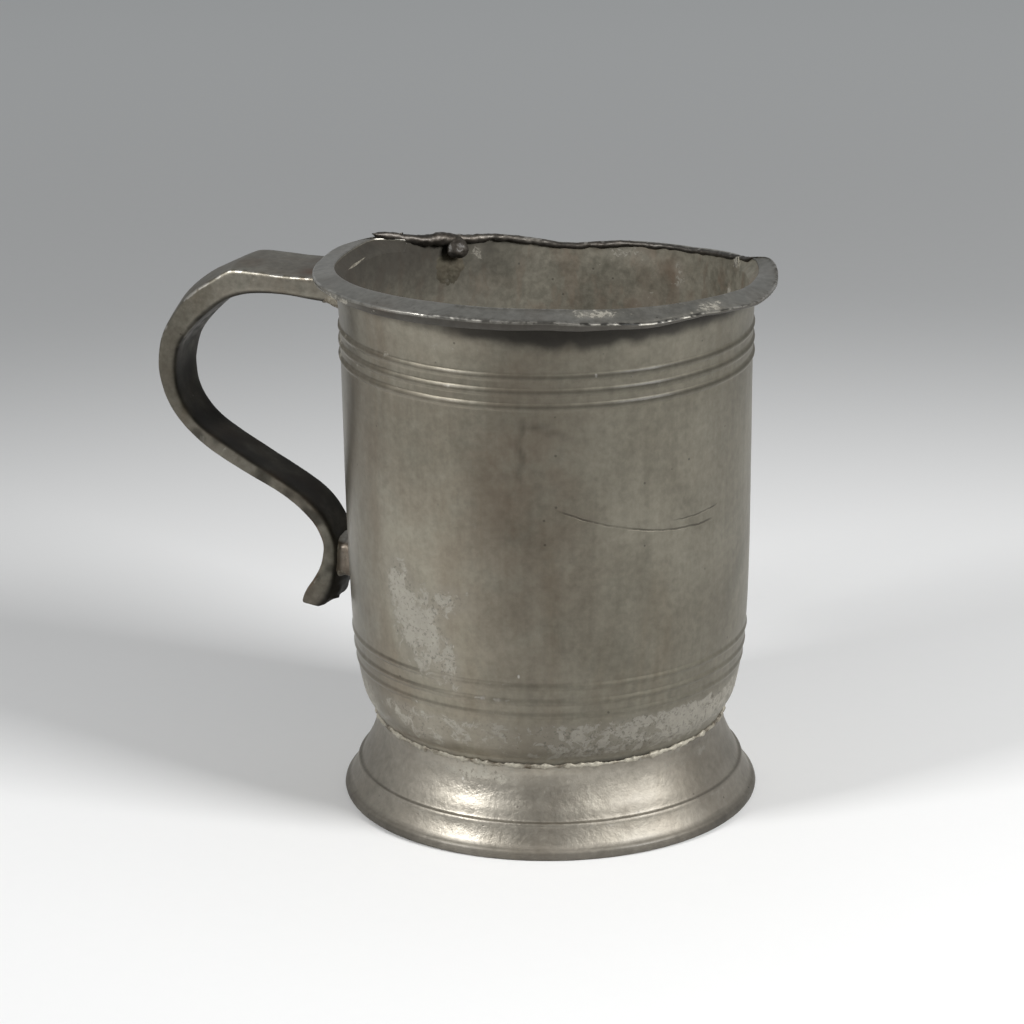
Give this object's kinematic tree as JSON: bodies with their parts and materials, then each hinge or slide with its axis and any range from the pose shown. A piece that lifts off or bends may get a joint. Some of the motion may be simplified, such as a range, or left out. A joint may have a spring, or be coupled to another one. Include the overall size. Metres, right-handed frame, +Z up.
{
  "type": "pewter tankard",
  "caption": "Lidless pewter tankard with a reeded straight-sided drum, flared foot, turned-out lip partly melted away, and an S-shaped strap handle.",
  "frame": {"origin": "centre of the foot's resting ring, on the surface that the tankard stands on", "axes": "+Z up through the mouth, the handle points along -X, the lost stretch of the lip faces +Y"},
  "size_m": [0.1387, 0.0959, 0.1217],
  "materials": {
    "drum_pewter": "tarnished, satin, streaked",
    "floor_pewter": "dull, stained",
    "foot_pewter": "rubbed, glossier, pitted",
    "lip_pewter": "dull top, burnished edge",
    "handle_pewter": "dark, rubbed bright on the edges",
    "strut_pewter": "cast, dull",
    "solder": "crusty, oxidised",
    "melted_pewter": "dark, lumpy, glossy in spots",
    "patch_pewter": "blistered"
  },
  "bodies": {
    "root": {"drum": "drum_pewter", "floor_disc": "floor_pewter", "foot": "foot_pewter", "lip": "lip_pewter", "handle": "handle_pewter", "handle_strut": "strut_pewter", "solder_handle": "solder", "solder_foot": "solder", "solder_floor": "solder", "rim_roll": "melted_pewter", "rim_drip": "melted_pewter", "wall_patch": "patch_pewter"}
  },
  "joints": []
}
